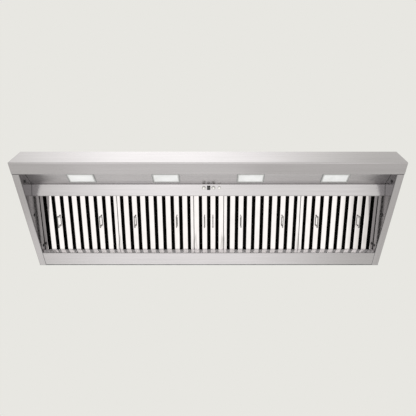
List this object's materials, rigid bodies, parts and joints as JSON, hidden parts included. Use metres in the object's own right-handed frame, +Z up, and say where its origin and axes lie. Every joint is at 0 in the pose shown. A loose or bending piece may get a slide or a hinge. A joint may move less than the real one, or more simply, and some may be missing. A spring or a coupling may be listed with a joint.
{
  "type": "range hood insert",
  "caption": "Wide stainless range hood insert with a folded rim, sloped lamp and control panels, slotted baffle filters with wire bails, blowers and duct collars.",
  "frame": {"origin": "middle of the footprint, at the level of the bottom flanges", "axes": "+X to the right as seen from the cook, +Y to the rear wall, +Z up"},
  "size_m": [1.483, 0.489, 0.345],
  "materials": {
    "brushed_stainless": "stainless sheet, brushed lengthways",
    "polished_stainless": "bright rolled stainless of the filters",
    "bright_wire": "bright drawn stainless wire",
    "galvanised_steel": "galvanised sheet, dull",
    "white_enamel": "white baked enamel",
    "frosted_lens": "frosted white diffuser, lit",
    "black_plastic": "moulded black plastic",
    "satin_knob": "satin turned aluminium",
    "aluminium_wheel": "plain aluminium sheet",
    "motor_enamel": "dark grey enamel"
  },
  "bodies": {
    "hood": {"front_panel": "brushed_stainless", "side_channel_left": "brushed_stainless", "side_channel_right": "brushed_stainless", "rear_trough": "brushed_stainless", "lamp_panel": "brushed_stainless", "control_panel": "brushed_stainless", "rear_panel": "galvanised_steel", "housing_front": "galvanised_steel", "gable_left": "galvanised_steel", "gable_right": "galvanised_steel", "top_panel": "galvanised_steel", "filter_rail": "galvanised_steel", "blower_scroll_left": "galvanised_steel", "blower_scroll_right": "galvanised_steel", "collar_left": "galvanised_steel", "collar_right": "galvanised_steel", "junction_box": "galvanised_steel", "lamp_housing_1": "white_enamel", "lamp_lens_1": "frosted_lens", "lamp_housing_2": "white_enamel", "lamp_lens_2": "frosted_lens", "lamp_housing_3": "white_enamel", "lamp_lens_3": "frosted_lens", "lamp_housing_4": "white_enamel", "lamp_lens_4": "frosted_lens", "control_box": "black_plastic", "switch_bezel": "black_plastic", "heat_sensor": "satin_knob", "motor_left": "motor_enamel", "motor_right": "motor_enamel"},
    "filter_1": {"filter_1_frame": "polished_stainless", "filter_1_baffles": "polished_stainless"},
    "handle_1a": {"handle_1a": "bright_wire"},
    "handle_1b": {"handle_1b": "bright_wire"},
    "filter_2": {"filter_2_frame": "polished_stainless", "filter_2_baffles": "polished_stainless"},
    "handle_2a": {"handle_2a": "bright_wire"},
    "handle_2b": {"handle_2b": "bright_wire"},
    "filter_3": {"filter_3_frame": "polished_stainless", "filter_3_baffles": "polished_stainless"},
    "handle_3a": {"handle_3a": "bright_wire"},
    "handle_3b": {"handle_3b": "bright_wire"},
    "filter_4": {"filter_4_frame": "polished_stainless", "filter_4_baffles": "polished_stainless"},
    "handle_4a": {"handle_4a": "bright_wire"},
    "handle_4b": {"handle_4b": "bright_wire"},
    "filter_5": {"filter_5_frame": "polished_stainless", "filter_5_baffles": "polished_stainless"},
    "handle_5a": {"handle_5a": "bright_wire"},
    "handle_5b": {"handle_5b": "bright_wire"},
    "fan_knob": {"fan_knob": "satin_knob"},
    "light_knob": {"light_knob": "satin_knob"},
    "rocker_left": {"rocker_left": "black_plastic"},
    "rocker_right": {"rocker_right": "black_plastic"},
    "impeller_left": {"impeller_left": "aluminium_wheel"},
    "impeller_right": {"impeller_right": "aluminium_wheel"},
    "flap_left_front": {"flap_left_front": "galvanised_steel"},
    "flap_left_rear": {"flap_left_rear": "galvanised_steel"},
    "flap_right_front": {"flap_right_front": "galvanised_steel"},
    "flap_right_rear": {"flap_right_rear": "galvanised_steel"}
  },
  "joints": [
    {"name": "filter_1_slide", "type": "slide", "parent": "hood", "child": "filter_1", "axis": [0, -0.9553, 0.2957], "range_m": [0, 0.018]},
    {"name": "handle_1a_swing", "type": "hinge", "parent": "filter_1", "child": "handle_1a", "pos_m": [-0.63843, 0.05359, 0.0629], "axis": [0, 0.9553, -0.2957], "range_deg": [-80, 80]},
    {"name": "handle_1b_swing", "type": "hinge", "parent": "filter_1", "child": "handle_1b", "pos_m": [-0.46093, 0.05359, 0.0629], "axis": [0, 0.9553, -0.2957], "range_deg": [-80, 80]},
    {"name": "filter_2_slide", "type": "slide", "parent": "hood", "child": "filter_2", "axis": [0, -0.9553, 0.2957], "range_m": [0, 0.018]},
    {"name": "handle_2a_swing", "type": "hinge", "parent": "filter_2", "child": "handle_2a", "pos_m": [-0.31427, 0.05359, 0.0629], "axis": [0, 0.9553, -0.2957], "range_deg": [-80, 80]},
    {"name": "handle_2b_swing", "type": "hinge", "parent": "filter_2", "child": "handle_2b", "pos_m": [-0.13677, 0.05359, 0.0629], "axis": [0, 0.9553, -0.2957], "range_deg": [-80, 80]},
    {"name": "filter_3_slide", "type": "slide", "parent": "hood", "child": "filter_3", "axis": [0, -0.9553, 0.2957], "range_m": [0, 0.018]},
    {"name": "handle_3a_swing", "type": "hinge", "parent": "filter_3", "child": "handle_3a", "pos_m": [-0.01775, 0.05359, 0.0629], "axis": [0, 0.9553, -0.2957], "range_deg": [-80, 80]},
    {"name": "handle_3b_swing", "type": "hinge", "parent": "filter_3", "child": "handle_3b", "pos_m": [0.01775, 0.05359, 0.0629], "axis": [0, 0.9553, -0.2957], "range_deg": [-80, 80]},
    {"name": "filter_4_slide", "type": "slide", "parent": "hood", "child": "filter_4", "axis": [0, -0.9553, 0.2957], "range_m": [0, 0.018]},
    {"name": "handle_4a_swing", "type": "hinge", "parent": "filter_4", "child": "handle_4a", "pos_m": [0.13677, 0.05359, 0.0629], "axis": [0, 0.9553, -0.2957], "range_deg": [-80, 80]},
    {"name": "handle_4b_swing", "type": "hinge", "parent": "filter_4", "child": "handle_4b", "pos_m": [0.31427, 0.05359, 0.0629], "axis": [0, 0.9553, -0.2957], "range_deg": [-80, 80]},
    {"name": "filter_5_slide", "type": "slide", "parent": "hood", "child": "filter_5", "axis": [0, -0.9553, 0.2957], "range_m": [0, 0.018]},
    {"name": "handle_5a_swing", "type": "hinge", "parent": "filter_5", "child": "handle_5a", "pos_m": [0.46093, 0.05359, 0.0629], "axis": [0, 0.9553, -0.2957], "range_deg": [-80, 80]},
    {"name": "handle_5b_swing", "type": "hinge", "parent": "filter_5", "child": "handle_5b", "pos_m": [0.63843, 0.05359, 0.0629], "axis": [0, 0.9553, -0.2957], "range_deg": [-80, 80]},
    {"name": "fan_knob_turn", "type": "hinge", "parent": "hood", "child": "fan_knob", "pos_m": [-0.0185, -0.10687, 0.06061], "axis": [0, -0.4768, -0.879], "range_deg": [0, 270]},
    {"name": "light_knob_turn", "type": "hinge", "parent": "hood", "child": "light_knob", "pos_m": [0.02, -0.10687, 0.06061], "axis": [0, -0.4768, -0.879], "range_deg": [0, 270]},
    {"name": "rocker_left_tilt", "type": "hinge", "parent": "hood", "child": "rocker_left", "pos_m": [-0.00193, -0.10616, 0.06193], "axis": [-1, 0, 0], "range_deg": [0, 14]},
    {"name": "rocker_right_tilt", "type": "hinge", "parent": "hood", "child": "rocker_right", "pos_m": [0.00392, -0.10616, 0.06193], "axis": [-1, 0, 0], "range_deg": [0, 14]},
    {"name": "impeller_left_spin", "type": "hinge", "parent": "hood", "child": "impeller_left", "pos_m": [-0.345, 0.04749, 0.2], "axis": [1, 0, 0], "continuous": true},
    {"name": "flap_left_front_swing", "type": "hinge", "parent": "hood", "child": "flap_left_front", "pos_m": [-0.345, 0.09297, 0.321], "axis": [-1, 0, 0], "range_deg": [0, 75]},
    {"name": "flap_left_rear_swing", "type": "hinge", "parent": "hood", "child": "flap_left_rear", "pos_m": [-0.345, 0.09297, 0.321], "axis": [1, 0, 0], "range_deg": [0, 75]},
    {"name": "impeller_right_spin", "type": "hinge", "parent": "hood", "child": "impeller_right", "pos_m": [0.345, 0.04749, 0.2], "axis": [1, 0, 0], "continuous": true},
    {"name": "flap_right_front_swing", "type": "hinge", "parent": "hood", "child": "flap_right_front", "pos_m": [0.345, 0.09297, 0.321], "axis": [-1, 0, 0], "range_deg": [0, 75]},
    {"name": "flap_right_rear_swing", "type": "hinge", "parent": "hood", "child": "flap_right_rear", "pos_m": [0.345, 0.09297, 0.321], "axis": [1, 0, 0], "range_deg": [0, 75]}
  ]
}
